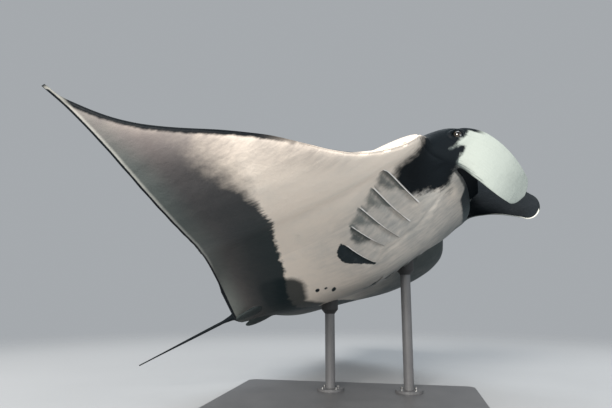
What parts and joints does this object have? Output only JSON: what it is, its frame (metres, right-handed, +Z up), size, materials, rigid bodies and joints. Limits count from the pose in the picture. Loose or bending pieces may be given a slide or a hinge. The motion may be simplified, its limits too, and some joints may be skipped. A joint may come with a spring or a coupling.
{
  "type": "manta ray model on display stand",
  "caption": "Life-size giant manta ray, swimming banked and nose up with its right wing raised, on a flat steel base with two short rods.",
  "frame": {"origin": "centre of the underside of the stand's flat base, on the floor", "axes": "+X the way the ray swims, +Y to its left, +Z up; the ray itself is tipped nose up and banked"},
  "size_m": [2.7282, 4.2058, 1.6734],
  "materials": {
    "skin": "wet, smooth hide, near-black above and white below with grey shading",
    "eye": "wet, dark and glossy",
    "stand_paint": "satin charcoal paint"
  },
  "bodies": {
    "root": {"head": "skin", "lower_jaw": "skin", "trunk": "skin", "pectoral_fin_right": "skin", "pectoral_fin_right_tip": "skin", "pectoral_fin_left": "skin", "pectoral_fin_left_tip": "skin", "cephalic_fin_right": "skin", "cephalic_fin_left": "skin", "pelvic_fin_right": "skin", "pelvic_fin_left": "skin", "dorsal_fin": "skin", "tail_base": "skin", "tail_middle": "skin", "tail_tip": "skin", "eye_right": "eye", "eye_left": "eye", "stand_base": "stand_paint", "stand_flange_front": "stand_paint", "stand_flange_rear": "stand_paint", "stand_rod_front": "stand_paint", "stand_rod_rear": "stand_paint", "stand_pad_front": "stand_paint", "stand_pad_rear": "stand_paint"}
  },
  "joints": []
}
